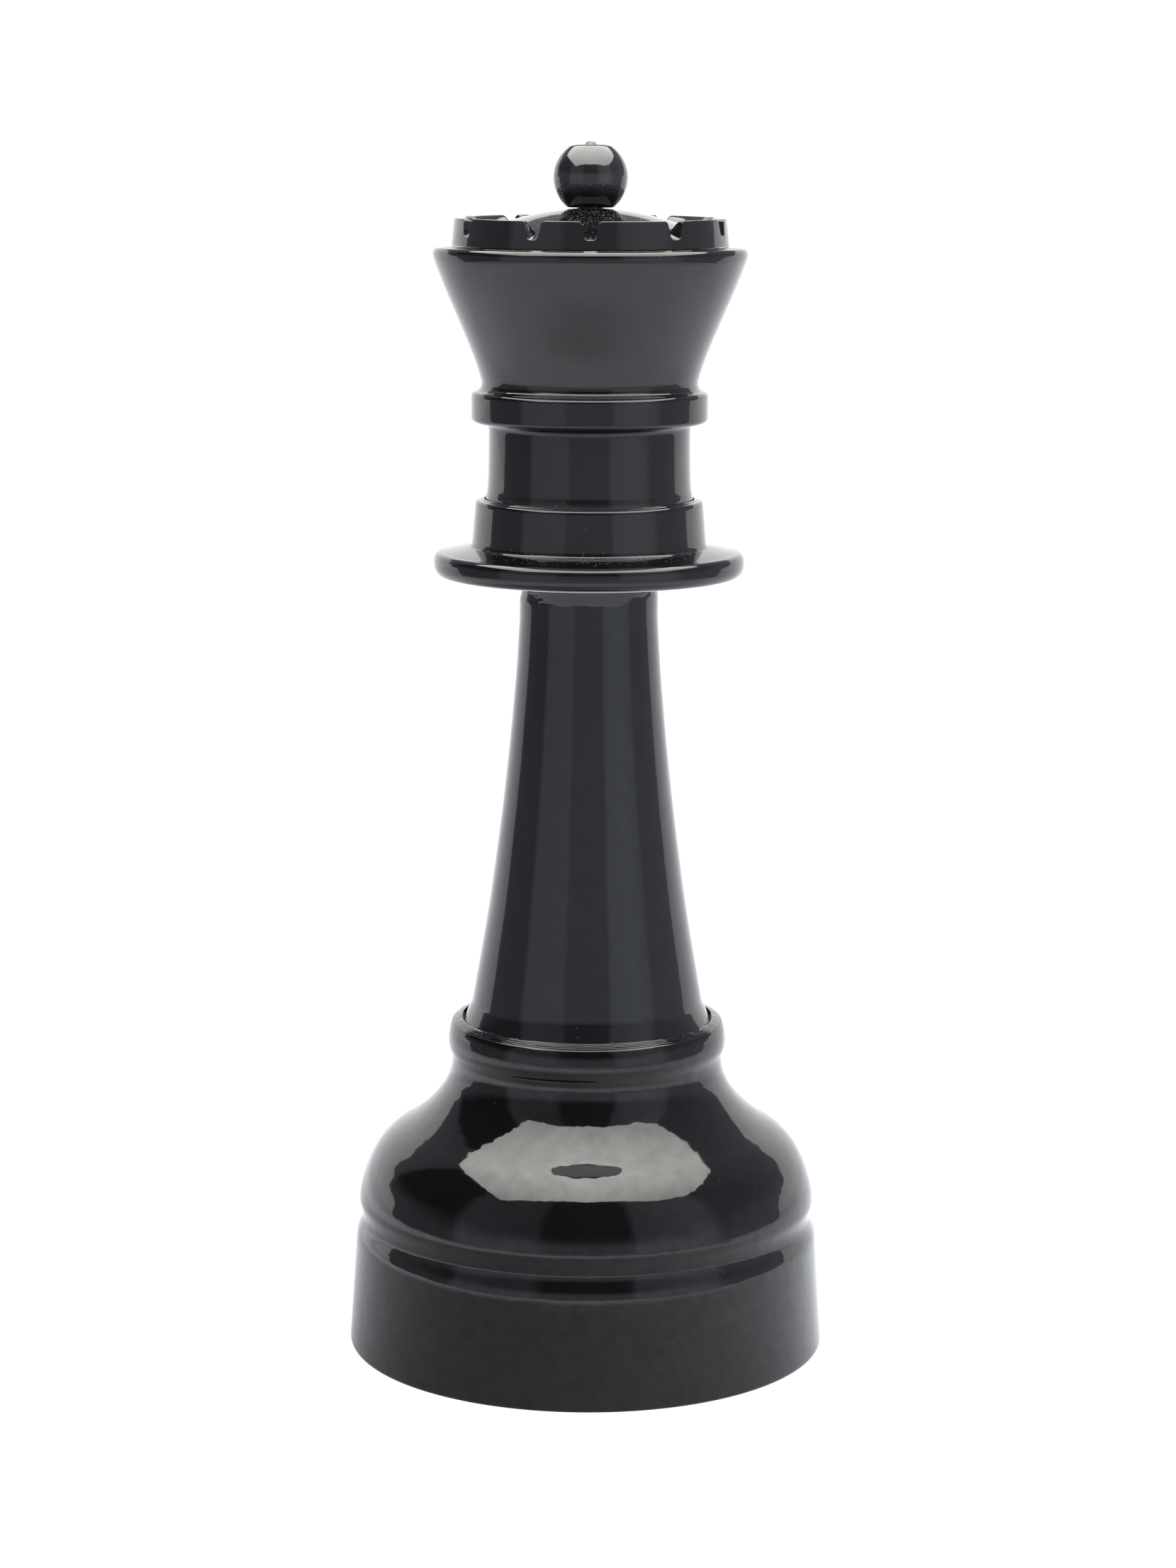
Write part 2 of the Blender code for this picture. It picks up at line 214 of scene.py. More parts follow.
def polyethylene(name, black, wave, wave_height, roughness, haze_share, ior=1.51):
    """Blow-moulded black polyethylene: mirror-like, with the slow waves of a skin that cooled on the mould.

    wave is the waves' length and wave_height their height, in millimetres, and haze_share is how much a dust
    haze takes off the shine in patches. Dust collects as pale grains where the piece's dust attribute says,
    and a few loose specks lie anywhere.
    """
    made, tree, shader = new_material(name)
    place = add(tree, "ShaderNodeTexCoord").outputs["Object"]
    slow = add(tree, "ShaderNodeTexNoise", Vector=place, Scale=1 / (wave * MM), Detail=1.0, Roughness=0.4)
    fine = add(tree, "ShaderNodeTexNoise", Vector=place, Scale=1 / (2.2 * MM), Detail=2.0, Roughness=0.5)
    waves = add(
        tree, "ShaderNodeBump", Height=slow.outputs[0], Distance=2 * wave_height * MM, Strength=1.0
    )
    skin = add(
        tree, "ShaderNodeBump", Height=fine.outputs[0], Distance=0.0022 * MM, Strength=1.0,
        Normal=waves.outputs[0],
    )
    amount = add(tree, "ShaderNodeAttribute", {"attribute_name": "dust"}).outputs["Fac"]
    cells = add(tree, "ShaderNodeTexVoronoi", Vector=place, Scale=1 / (GRAIN_SPACING * MM))
    patches = add(tree, "ShaderNodeTexNoise", Vector=place, Scale=1 / (3.5 * MM), Detail=3.0, Roughness=0.6)
    lie = add(tree, "ShaderNodeMath", {"operation": "MULTIPLY"}, _0=amount, _1=patches.outputs[0])
    chance = add(tree, "ShaderNodeSeparateColor", Color=cells.outputs["Color"]).outputs[0]
    held = add(tree, "ShaderNodeMath", {"operation": "LESS_THAN"}, _0=chance, _1=lie.outputs[0])
    loose = add(tree, "ShaderNodeMath", {"operation": "LESS_THAN"}, _0=chance, _1=0.00015)
    either = add(tree, "ShaderNodeMath", {"operation": "MAXIMUM"}, _0=held.outputs[0], _1=loose.outputs[0])
    size = add(tree, "ShaderNodeMath", {"operation": "LESS_THAN"}, _0=cells.outputs["Distance"], _1=0.36)
    grain = add(tree, "ShaderNodeMath", {"operation": "MULTIPLY"}, _0=either.outputs[0], _1=size.outputs[0])
    tint = add(
        tree, "ShaderNodeMix", {"data_type": "RGBA"}, Factor=grain.outputs[0], _6=linear(black),
        _7=linear("#77746b"),
    )
    tree.links.new(tint.outputs[2], shader.inputs["Base Color"])
    # Worn gloss: a haze of dust thins the shine in patches, the roughness drifts, and dust is dull
    haze = add(tree, "ShaderNodeTexNoise", Vector=place, Scale=1 / (7 * MM), Detail=3.0, Roughness=0.55)
    shine = add(
        tree, "ShaderNodeMapRange", Value=haze.outputs[0], From_Min=0.3, From_Max=0.7,
        To_Min=0.5 * (1 + haze_share), To_Max=0.5 * (1 - haze_share),
    )
    tree.links.new(shine.outputs[0], shader.inputs["Specular IOR Level"])
    drift = add(tree, "ShaderNodeTexNoise", Vector=place, Scale=1 / (24 * MM), Detail=3.0, Roughness=0.6)
    gloss = add(
        tree, "ShaderNodeMapRange", Value=drift.outputs[0], From_Min=0.3, From_Max=0.7,
        To_Min=roughness * 0.8, To_Max=roughness * 1.3,
    )
    dull = add(tree, "ShaderNodeMath", {"operation": "MAXIMUM"}, _0=gloss.outputs[0], _1=grain.outputs[0])
    tree.links.new(dull.outputs[0], shader.inputs["Roughness"])
    tree.links.new(skin.outputs[0], shader.inputs["Normal"])
    shader.inputs["IOR"].default_value = ior
    return made


# ---------------------------------------------------------------- base

PARTING_LINE_DEG = 35.9


def skirt_outline():
    """From the floor up: foot, skirt, groove, bell, throat and the collar that holds the column."""
    foot = chain([(113.2, 0.0)], arc(113.4, 1.7, 1.6, -90, -5, 6))
    skirt = fair([(115.0, 2.6), (113.4, 28.0), (111.8, 52.6)], 2.0)
    groove = [(111.8, 52.6), (111.3, 55.5), (110.45, 58.2), (109.55, 60.8), (109.0, 63.0), (108.9, 64.6)]
    groove += [(109.15, 66.6), (109.65, 68.8), (110.1, 70.6), (110.2, 72.0)]
    bell = [(110.0, 74.4), (109.25, 78.5), (108.3, 81.9), (107.15, 85.4), (105.8, 88.9), (104.1, 92.4)]
    bell += [(101.95, 96.0), (99.2, 99.5), (95.6, 103.0), (90.95, 106.5), (85.8, 109.9), (81.2, 113.5)]
    bell += [(77.2, 117.1), (73.95, 120.6), (71.25, 124.1), (69.0, 127.6), (67.3, 131.2), (66.1, 134.7)]
    throat = [(65.45, 138.2), (65.3, 141.0), (65.58, 143.4), (65.74, 144.0), (65.82, 144.25), (65.9, 144.5)]
    throat += [(66.2, 145.4), (66.75, 147.2), (67.0, 149.6)]
    collar = [(66.9, 152.2), (66.6, 154.4), (66.15, 156.4), (65.5, 158.2), (65.05, 159.1)]
    lip = [(64.85, 159.3), (64.2, 159.5), (64.05, 159.85), (63.9, 160.0), (63.1, 160.1), (63.0, 160.4)]
    lip += [(62.85, 160.55), (62.1, 160.65), (62.0, 160.85), (61.85, 161.0), (60.9, 161.1), (60.5, 161.3)]
    return chain(foot, skirt, fair(groove + bell + throat + collar, 1.0), lip, [(60.2, 161.0)])


def base_shell(finish):
    socket = chain([(60.2, 157.0), (50.3, 157.0)], straight((50.3, 157.0), (50.3, 118.0), 8), [(0, 118.0)])
    inside = [(0, 115.4), (52.9, 115.4), (52.9, 154.4), (62.6, 154.4), (62.6, 140.0), (66.0, 126.6)]
    inside += [(75.0, 114.6), (89.0, 103.8), (99.3, 95.0), (104.5, 85.5), (107.5, 74.0), (106.0, 64.3)]
    inside += [(109.1, 54.0), (111.0, 9.1), (18.6, 9.1), (18.6, 20.0), (16.0, 20.0), (16.0, 7.1)]
    inside += [(16.6, 6.5), *straight((22.0, 6.5), (94.0, 6.5), 12), (96.6, 6.2), (97.3, 5.2), (98.7, 0.6)]
    inside += [(99.4, 0.0), (106.0, 0.0)]
    work = spun(chain(skirt_outline(), socket, inside), 256, "base_shell")
    waver(work, 0.05, 26, 1)
    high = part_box("base_shell")[1].z
    for vert in work.verts:
        radius, height = math.hypot(vert.co.x, vert.co.y) / MM, vert.co.z / MM
        azimuth = azimuth_deg(vert.co)
        if height > 160.1 and radius < 63.6:  # the lip round the column is uneven with moulding flash
            vert.co.z = min(high, vert.co.z + 0.16 * MM * noise.noise(vert.co / (5 * MM)))
        if 60 < height < 74 and abs(azimuth - PARTING_LINE_DEG) < 0.7:  # the mould's parting line stands up
            vert.co.xy *= 1.0015
        if 144.1 < height < 144.4 and radius > 64:  # a shallow slit runs along the throat's front left
            slit = smoothstep(-36, -24, azimuth) * (1 - smoothstep(-6, 6, azimuth))
            vert.co.xy *= 1 - 0.0028 * slit
    dust_weights(work, [(61.4, 161.0, 1.2, 0.15)])
    return piece("base_shell_fine", work, finish, "base", "base_shell")


# ---------------------------------------------------------------- column

SHOULDER_BASE = 360.0
SHOULDER_SLOPE = 0.235  # how far in per millimetre up
SPIGOT_CLEAR_R = 28.5


def trim_shoulder(vert):
    """Draws the column's top in, from an uneven line round it, as if trimmed by hand under the flange."""
    radius, height = math.hypot(vert.co.x, vert.co.y) / MM, vert.co.z / MM
    ragged = noise.noise(Vector((vert.co.x / (12 * MM), vert.co.y / (12 * MM), 4.2)))
    ragged += 0.5 * noise.noise(Vector((vert.co.x / (3 * MM), vert.co.y / (3 * MM), 9.1)))
    start = 363.2 + 3.4 * smoothstep(28, 40, azimuth_deg(vert.co)) + 1.1 * ragged
    pits = 0.14 * max(0.0, noise.noise(vert.co / (2.2 * MM)))
    cut = SHOULDER_SLOPE * max(0.0, height - start) + pits * smoothstep(start, start + 2, height)
    vert.co.xy *= max(SPIGOT_CLEAR_R, radius - cut) / radius


def stem_column(finish):
    """Hollow column: its foot ring sits in the collar, its capped spigot takes the flange."""
    foot = [(50.0, 120.5), *straight((50.0, 122.0), (50.0, 157.3), 9), (59.3, 157.3), (59.5, 157.6)]
    ring = [(59.5, 160.2), (59.35, 160.55), (59.0, 160.75)]
    fillet = fair([(59.0, 160.75), (57.9, 163.0), (56.9, 165.3), (56.15, 167.1), (55.55, 168.6)], 0.7)
    flare = [(55.55, 168.6), (54.7, 173.4), (51.6, 191.0), (48.6, 208.6), (45.9, 226.2), (43.5, 243.9)]
    flare += [(41.25, 261.4), (39.2, 279.0), (37.35, 296.7), (35.7, 314.3), (34.25, 331.9)]
    flare += [(33.2, 349.5), (32.9, 356.0), (32.9, SHOULDER_BASE)]
    shoulder = straight((32.9, SHOULDER_BASE), (32.9, 373.9), 0.5)
    top = chain(arc(32.1, 373.9, 0.8, 0, 90, 4), [(28.0, 374.7)], straight((28.0, 375.2), (28.0, 401.0), 6))
    top = chain(top, arc(27.0, 401.0, 1.0, 0, 90, 4), [(0, 402.0), (0, 399.4), (25.4, 399.4), (25.4, 371.0)])
    inside = [(30.2, 362.0), (31.6, 331.9), (38.6, 261.4), (48.9, 191.0), (51.0, 176.0), (47.4, 163.0)]
    outline = chain(foot, ring, fillet, fair(flare, 3.0), shoulder, top, inside, [(47.4, 120.5)])
    work = spun(outline, 224, "stem_column")
    waver(work, 0.04, 30, 2)
    for vert in work.verts:
        if vert.co.z > SHOULDER_BASE * MM and math.hypot(vert.co.x, vert.co.y) > 31 * MM:
            trim_shoulder(vert)
    dust_weights(work, [(59.2, 160.9, 1.0, 0.1)])
    return piece("stem_column_fine", work, finish, "stem", "stem_column")


# ---------------------------------------------------------------- flange collar and cup

def crown_collar(finish):
    under = chain([(28.3, 375.0)], straight((29.0, 375.0), (69.4, 375.0), 6))
    edge = fair([(69.4, 375.0), (71.4, 375.7), (72.8, 377.4), (73.45, 379.4), (73.6, 381.4)], 0.5)
    edge += fair([(73.6, 381.4), (73.35, 383.4), (72.6, 385.0), (71.2, 385.95), (69.4, 386.3)], 0.5)
    top = straight((69.4, 386.3), (57.2, 388.8), 1.8)
    fillet = fair([(57.2, 388.8), (56.2, 389.2), (55.65, 390.1), (55.35, 391.6), (55.2, 393.4)], 0.4)
    sleeve = straight((55.2, 393.4), (53.95, 408.4), 2.0)
    mouth = fair([(53.95, 408.4), (53.65, 409.7), (52.9, 410.5), (51.9, 410.8), (51.2, 410.85)], 0.4)
    mouth += [(50.9, 411.15), (50.6, 411.3), (50.2, 411.3), (49.9, 411.5)]
    bore = [(49.5, 411.3), (49.3, 410.6), *straight((49.3, 409.0), (49.3, 391.0), 6), (45.0, 391.0)]
    inside = [(45.0, 388.4), (52.0, 386.4), (70.2, 382.6), (70.2, 377.6), (30.9, 377.6), (30.9, 401.0)]
    outline = chain(under, edge, top, fillet, sleeve, mouth, bore, inside, [(28.3, 401.0)])
    work = spun(outline, 256, "crown_collar")
    waver(work, 0.035, 22, 3, floor=375 * MM)
    dust_weights(work, [(57.4, 388.9, 2.6, 0.5), (61.0, 388.0, 8.0, 0.12), (50.4, 411.5, 1.2, 0.1)])
    return piece("crown_collar_fine", work, finish, "collar", "crown_collar")


def crown_cup(finish):
    """Neck, bead ring, flared cup and its rolled rim."""
    spigot = [(49.0, 391.3), *straight((49.0, 393.0), (49.0, 411.2), 6), (48.9, 412.6)]
    neck = [(48.9, 412.6), (48.45, 414.4), (48.1, 417.4), (47.8, 424.0), (47.6, 434.0), (47.6, 442.4)]
    under = fair([(47.6, 442.4), (47.75, 444.3), (48.3, 445.7), (49.4, 446.7), (51.0, 447.15)], 0.5)
    under = chain(under, [(53.3, 447.2)], arc(53.3, 449.7, 2.5, -90, 0, 8))
    bead = chain(under, straight((55.8, 449.7), (55.8, 459.3), 1.5), arc(53.2, 459.3, 2.6, 0, 76, 9))
    crest = fair([bead[-1], (52.5, 462.45), (51.4, 463.5)], 0.5)
    throat = [(51.4, 463.5), (50.95, 465.3), (51.4, 467.8), (52.9, 472.7), (56.15, 481.5), (59.85, 490.3)]
    flare = [(63.65, 499.1), (67.45, 507.9), (71.0, 516.7), (72.6, 520.9)]
    rim = [(72.6, 520.9), (73.45, 523.3), (73.8, 525.2), (73.5, 527.0), (72.4, 528.3), (70.6, 528.75)]
    ledge = [(70.0, 528.6), (69.3, 528.95), (68.7, 528.7), (68.0, 529.0), (66.6, 529.1), (65.6, 529.2)]
    mouth = [(61.4, 529.2), (60.6, 528.9), (60.3, 528.2), *straight((60.3, 526.0), (60.3, 498.0), 8)]
    inside = [(53.0, 481.5), (48.4, 467.4), (45.0, 447.0), (45.0, 391.3)]
    flank = chain(fair(throat + flare, 1.3), fair(rim, 0.45))
    work = spun(chain(spigot, fair(neck, 1.5), bead, crest, flank, ledge, mouth, inside), 256, "crown_cup")
    waver(work, 0.035, 24, 4, floor=391.3 * MM)
    dust_weights(work, [(66.0, 529.2, 3.0, 0.22), (49.0, 412.4, 1.0, 0.1)])
    return piece("crown_cup_fine", work, finish, "cup", "crown_cup")


# ---------------------------------------------------------------- coronet

NOTCH_DEG = (0, 37, 71, 110, 146, 182, 218, 252, 298, 336)  # round from the front, not evenly spaced
NOTCH_HALF = 3.9  # half of a notch's width at the merlons' tops
NOTCH_FLOOR_HALF = 2.8
NOTCH_FLOOR_ROUND, MERLON_ROUND, EDGE_ROUND = 2.0, 1.7, 0.5
CORONET_FOOT, CORONET_TOP = 529.5, 542.1
RING_R = 60.0  # where the offsets from a notch's middle are measured
WALL_R, WALL_DRAFT = 65.0, 0.105  # the ring's outside at its foot, and how far in per millimetre up
NOTCH_OFFSETS = (0, 0.6, 1.2, 1.7, 2.1, 2.45, 2.75, 3.0, 3.2, 3.35, 3.5, 3.65, 3.8, 3.95, 4.15, 4.4, 4.7)
NOTCH_OFFSETS += (5.1, 5.6, 6.3, 7.4)
MERLON_COLUMNS = 6  # from the last offset to the merlon's middle


def dome(radius):
    """Height of the low dome round the ball, straight from radius 33 out to the notches' floors."""
    return 546.7 - min(radius, 33.0) ** 2 / 232 - 0.2845 * max(0.0, radius - 33.0)


def merlon(radius):
    """Height of a merlon's top over the radius: flat outside, rounding down to the dome inside."""
    return CORONET_TOP - 4.6 * smoothstep(0, 9.6, 61.4 - radius) - 0.12 * max(0.0, 61.4 - radius)


def coronet_top(radius, aside):
    """Height of the coronet at a radius, this far aside of the nearest notch's middle line."""
    low = dome(radius)
    high = max(low, merlon(radius))
    rise = high - low
    if rise < 0.02:
        return low
    draft = (NOTCH_HALF - NOTCH_FLOOR_HALF) / (CORONET_TOP - dome(64))
    floor_round = min(NOTCH_FLOOR_ROUND, 0.45 * rise)
    top_round = min(MERLON_ROUND, 0.45 * rise)
    wall_at_floor = NOTCH_HALF - draft * rise
    bend = aside - (wall_at_floor - floor_round)
    if bend <= 0:
        return low
    if bend <= floor_round * 0.995:
        return low + floor_round - math.sqrt(floor_round**2 - bend**2)
    into_merlon = aside - NOTCH_HALF
    if into_merlon >= top_round:
        return high
    if into_merlon >= 0.005 * top_round:
        return high - top_round + math.sqrt(top_round**2 - (top_round - into_merlon) ** 2)
    foot, head = low + floor_round, high - top_round
    share = (aside - wall_at_floor) / max(0.02, NOTCH_HALF - wall_at_floor)
    return foot + (head - foot) * min(1.0, max(0.0, share))


def coronet_columns():
    """(notch, offset along RING_R, side) of every column, once round from the front notch."""
    columns = []
    count = len(NOTCH_DEG)
    for k, middle in enumerate(NOTCH_DEG):
        ahead = (NOTCH_DEG[(k + 1) % count] - middle) % 360 / 2
        behind = (middle - NOTCH_DEG[k - 1]) % 360 / 2
        for side, half_deg in ((-1, behind), (1, ahead)):
            reach = math.radians(half_deg) * RING_R
            last = NOTCH_OFFSETS[-1]
            offsets = list(NOTCH_OFFSETS)
            offsets += [last + (reach - last) * i / MERLON_COLUMNS for i in range(1, MERLON_COLUMNS + 1)]
            offsets = offsets[1:] if side < 0 else offsets[:-1]
            half = [(middle, offset, side) for offset in offsets]
            columns += half[::-1] if side < 0 else half
    return columns


def coronet_cap(finish):
    """Notched ring and low dome. The notches' floors are the dome, run on outwards."""
    wall_rows = [(WALL_R - WALL_DRAFT * h, CORONET_FOOT + h) for h in np.linspace(0, 11.4, 13)]
    bend_rows = arc(62.8, 541.1, 1.0, 14, 90, 6)
    top_radii = [*np.arange(62.4, 52.0, -0.4), *np.arange(52, 12, -2.5), 10, 8, 6.3]
    under = [(6.3, 533.0), (8.9, 533.0), (8.9, 543.2), (24.0, 542.0), (38.0, 538.9), (50.0, 535.3)]
    under += [(57.4, 530.5), (57.4, 517.0), (60.0, 517.0), (60.0, 522.0), (60.0, 529.5)]
    top_rows = [(r, max(dome(r), merlon(r))) for r in top_radii]
    outline = [*wall_rows, *bend_rows, *top_rows, *under]
    columns = coronet_columns()
    work = spun(outline, len(columns), "coronet_cap")
    row = work.verts.layers.int["row"]
    first_bend = len(wall_rows)
    first_top = first_bend + len(bend_rows)
    first_under = first_top + len(top_rows)
    step = 2 * math.pi / len(columns)
    for vert in work.verts:
        radius = math.hypot(vert.co.x, vert.co.y) / MM
        column = round(math.atan2(vert.co.y, vert.co.x) / step) % len(columns)
        middle, offset, side = columns[column]
        i = vert[row]
        top_r = 62.0 if i < first_top else radius
        swing = math.asin(min(1.0, offset / max(radius, 50.0)))
        away = smoothstep(6.5, 9.5, offset)
        turn = swing + (offset / RING_R - swing) * away
        if i < first_top:
            height = coronet_top(top_r, offset)
            rim_z = height - EDGE_ROUND
            wall_r = WALL_R - WALL_DRAFT * (rim_z - CORONET_FOOT)
            if i < first_bend:
                share = i / (first_bend - 1)
                z = CORONET_FOOT + share * (rim_z - CORONET_FOOT)
                radius = WALL_R - WALL_DRAFT * (z - CORONET_FOOT)
            else:
                tilt = math.radians(90 * (i - first_bend + 1) / (first_top - first_bend + 1))
                radius = wall_r - EDGE_ROUND * (1 - math.cos(tilt))
                z = rim_z + EDGE_ROUND * math.sin(tilt)
        elif i < first_under:
            if radius > 60:
                height = coronet_top(62.0, offset)
                limit = WALL_R - WALL_DRAFT * (height - EDGE_ROUND - CORONET_FOOT) - EDGE_ROUND
                radius = 60 + (radius - 60) * (limit - 60) / 2.4
            z = coronet_top(radius, offset)
        else:
            z = vert.co.z / MM
        angle = math.radians(middle) + side * turn
        vert.co = Vector((radius * math.sin(angle), -radius * math.cos(angle), z)) * MM
    bmesh.ops.recalc_face_normals(work, faces=work.faces)
    waver(work, 0.02, 14, 5, floor=518 * MM)
    dust_weights(work, [(10.5, 546.7, 4.5, 1.6), (11.0, 546.5, 50, 0.36), (60.0, 533.8, 3.2, 0.4)])
    return piece("coronet_cap_fine", work, finish, "cup", "coronet_cap")


def ball_finial(finish):
    """Ball on its peg, with a flat top that carries the cut-off moulding nub."""
    peg = [(0, 533.0), (5.0, 533.0), (6.0, 534.0), (6.0, 546.9)]
    foot_deg = math.degrees(math.asin((546.9 - 560.6) / 17.4))
    ball = arc(0, 560.6, 17.4, foot_deg, 56.5, 48)
    shoulder = fair([ball[-1], (8.5, 575.45), (7.4, 575.68), (6.2, 575.7)], 0.35)
    top = [(4.4, 575.7), (3.0, 575.72), (2.5, 575.9), (2.2, 576.5), (1.7, 576.9), (1.2, 577.0), (0.6, 577.2)]
    outline = chain(peg, [(10.3, 546.9)], ball, shoulder, top, [(0, 577.2)])
    work = spun(outline, 128, "ball_finial")
    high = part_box("ball_finial")[1].z
    for vert in work.verts:  # the nub is a rough break
        radius = math.hypot(vert.co.x, vert.co.y) / MM
        if vert.co.z > 575.8 * MM and radius < 2.6:
            rough = noise.noise(vert.co / (0.9 * MM))
            vert.co.z = min(high, vert.co.z + 0.4 * MM * rough)
    dust_weights(work, [(10.8, 547.2, 1.8, 1.0), (2.4, 575.9, 1.0, 0.6)])
    return piece("ball_finial_fine", work, finish, "cup", "ball_finial")


# ---------------------------------------------------------------- filler plug, gasket and sand

THREAD_LEAD, THREAD_DEPTH = 4.0, 0.6


def satin_plastic():
    """Injection-moulded plug: a satin skin with the fine grain of an etched tool, dull beside the shell."""
    made, tree, shader = new_material("satin_black_plastic")
    place = add(tree, "ShaderNodeTexCoord").outputs["Object"]
    grain = add(tree, "ShaderNodeTexNoise", Vector=place, Scale=1 / (0.5 * MM), Detail=2.0).outputs[0]
    wear = add(tree, "ShaderNodeTexNoise", Vector=place, Scale=1 / (7 * MM), Detail=4.0).outputs[0]
    skin = add(tree, "ShaderNodeBump", Height=grain, Distance=0.02 * MM, Strength=1.0)
    gloss = add(tree, "ShaderNodeMapRange", Value=wear, From_Min=0.35, From_Max=0.65, To_Min=0.3, To_Max=0.48)
    dark, pale = linear("#141416"), linear("#232325")
    tint = add(tree, "ShaderNodeMix", {"data_type": "RGBA"}, Factor=wear, _6=dark, _7=pale)
    tree.links.new(tint.outputs[2], shader.inputs["Base Color"])
    tree.links.new(gloss.outputs[0], shader.inputs["Roughness"])
    tree.links.new(skin.outputs[0], shader.inputs["Normal"])
    return made


def gasket_rubber():
    """Matt rubber with a grey bloom on it, so that it reads soft between two plastics."""
    made, tree, shader = new_material("black_nitrile_rubber")
    place = add(tree, "ShaderNodeTexCoord").outputs["Object"]
    bloom = add(tree, "ShaderNodeTexNoise", Vector=place, Scale=1 / (4 * MM), Detail=5.0).outputs[0]
    fine = add(tree, "ShaderNodeTexNoise", Vector=place, Scale=1 / (0.3 * MM), Detail=1.0).outputs[0]
    share = add(tree, "ShaderNodeMapRange", Value=bloom, From_Min=0.45, From_Max=0.7).outputs[0]
    dark, pale = linear("#17171a"), linear("#3a3a39")
    tint = add(tree, "ShaderNodeMix", {"data_type": "RGBA"}, Factor=share, _6=dark, _7=pale)
    skin = add(tree, "ShaderNodeBump", Height=fine, Distance=0.015 * MM, Strength=1.0)
    tree.links.new(tint.outputs[2], shader.inputs["Base Color"])
    tree.links.new(skin.outputs[0], shader.inputs["Normal"])
    shader.inputs["Roughness"].default_value = 0.8
    return made


def dry_sand():
    """Dry pale sand: half-millimetre grains in several tones, each with its own small shadow."""
    made, tree, shader = new_material("dry_silica_sand")
    place = add(tree, "ShaderNodeTexCoord").outputs["Object"]
    cells = add(tree, "ShaderNodeTexVoronoi", Vector=place, Scale=1 / (0.6 * MM))
    chance = add(tree, "ShaderNodeSeparateColor", Color=cells.outputs["Color"]).outputs[0]
    ramp = add(tree, "ShaderNodeValToRGB", Fac=chance)
    points = ramp.color_ramp.elements
    points.new(0.5)
    for point, (at, code) in zip(points, ((0, "#8a7450"), (0.5, "#c9b184"), (1, "#e4d6b4"))):
        point.position, point.color = at, linear(code)
    near = add(tree, "ShaderNodeMath", {"operation": "SUBTRACT"}, _0=1.0, _1=cells.outputs["Distance"])
    skin = add(tree, "ShaderNodeBump", Height=near.outputs[0], Distance=0.25 * MM, Strength=1.0)
    tree.links.new(ramp.outputs[0], shader.inputs["Base Color"])
    tree.links.new(skin.outputs[0], shader.inputs["Normal"])
    shader.inputs["Roughness"].default_value = 0.95
    return made


def filler_plug(finish):
    """Screw plug under the base: round head with a coin slot, hollow shank with a real thread."""
    head = chain([(0, 1.2), (19.6, 1.2)], arc(20.2, 2.0, 0.8, -90, 0, 4), arc(20.2, 3.4, 0.8, 0, 90, 4))
    shank = straight((15.7, 4.2), (15.7, 16.2), 0.5)
    tip = [(15.2, 17.0), (13.1, 17.0), (13.1, 7.0), (0, 7.0)]
    work = spun(chain(head, shank, tip), 96, "filler_plug")
    for vert in work.verts:
        radius, height = math.hypot(vert.co.x, vert.co.y) / MM, vert.co.z / MM
        if 5 < height < 16.3 and radius > 15:
            turns = (height - 5) / THREAD_LEAD - math.atan2(vert.co.y, vert.co.x) / (2 * math.pi)
            depth = THREAD_DEPTH * (0.5 - 0.5 * math.cos(2 * math.pi * turns))
            vert.co.xy *= 1 - depth * smoothstep(5, 6, height) / radius
    half_long, half_wide, deep = 14 * MM, 1.2 * MM, 1.6 * MM
    for side, reach in (((1, 0, 0), half_long), ((0, 1, 0), half_wide)):
        for sign in (-1, 1):
            low = [f for f in work.faces if f.calc_center_median().z < 1.3 * MM]
            near = set(low) | {e for f in low for e in f.edges} | {v for f in low for v in f.verts}
            way = Vector(side) * sign
            bmesh.ops.bisect_plane(work, geom=list(near), dist=1e-7, plane_co=way * reach, plane_no=way)
    floor = []
    for face in work.faces:
        centre = face.calc_center_median()
        if centre.z < 1.3 * MM and abs(centre.x) < half_long and abs(centre.y) < half_wide:
            floor.append(face)
    lifted = bmesh.ops.extrude_face_region(work, geom=floor)["geom"]
    raised = [item for item in lifted if isinstance(item, bmesh.types.BMVert)]
    bmesh.ops.translate(work, verts=raised, vec=(0, 0, deep))
    bmesh.ops.delete(work, geom=[face for face in floor if face.is_valid], context="FACES")
    return piece("filler_plug_fine", work, finish, "plug", "filler_plug")


# ---------------------------------------------------------------- camera, light and stage

def aim_camera():
    data = bpy.data.cameras.new("main_camera")
    data.lens = 85.87
    data.sensor_width = 36.0
    data.clip_start = 0.05
    camera = bpy.data.objects.new("main_camera", data)
    bpy.context.scene.collection.objects.link(camera)
    tilt = Matrix.Rotation(math.radians(90 - 10.1), 4, "X")
    roll = Matrix.Rotation(math.radians(0.25), 4, "Z")
    camera.matrix_world = Matrix.Translation((0, -1.7606, 0.5879)) @ tilt @ roll
    bpy.context.scene.camera = camera


def stage_piece(name, work, material):
    """Turns the bmesh into a studio piece, seen in reflections and not by the camera."""
    mesh = bpy.data.meshes.new(name)
    work.to_mesh(mesh)
    work.free()
    mesh.materials.append(material)
    obj = bpy.data.objects.new(name, mesh)
    bpy.context.scene.collection.objects.link(obj)
    obj.visible_camera = False
    return obj


def card(name, corners, material):
    """A flat studio card."""
    work = bmesh.new()
    work.faces.new([work.verts.new(corner) for corner in corners])
    bmesh.ops.triangulate(work, faces=work.faces)
    stage_piece(name, work, material)


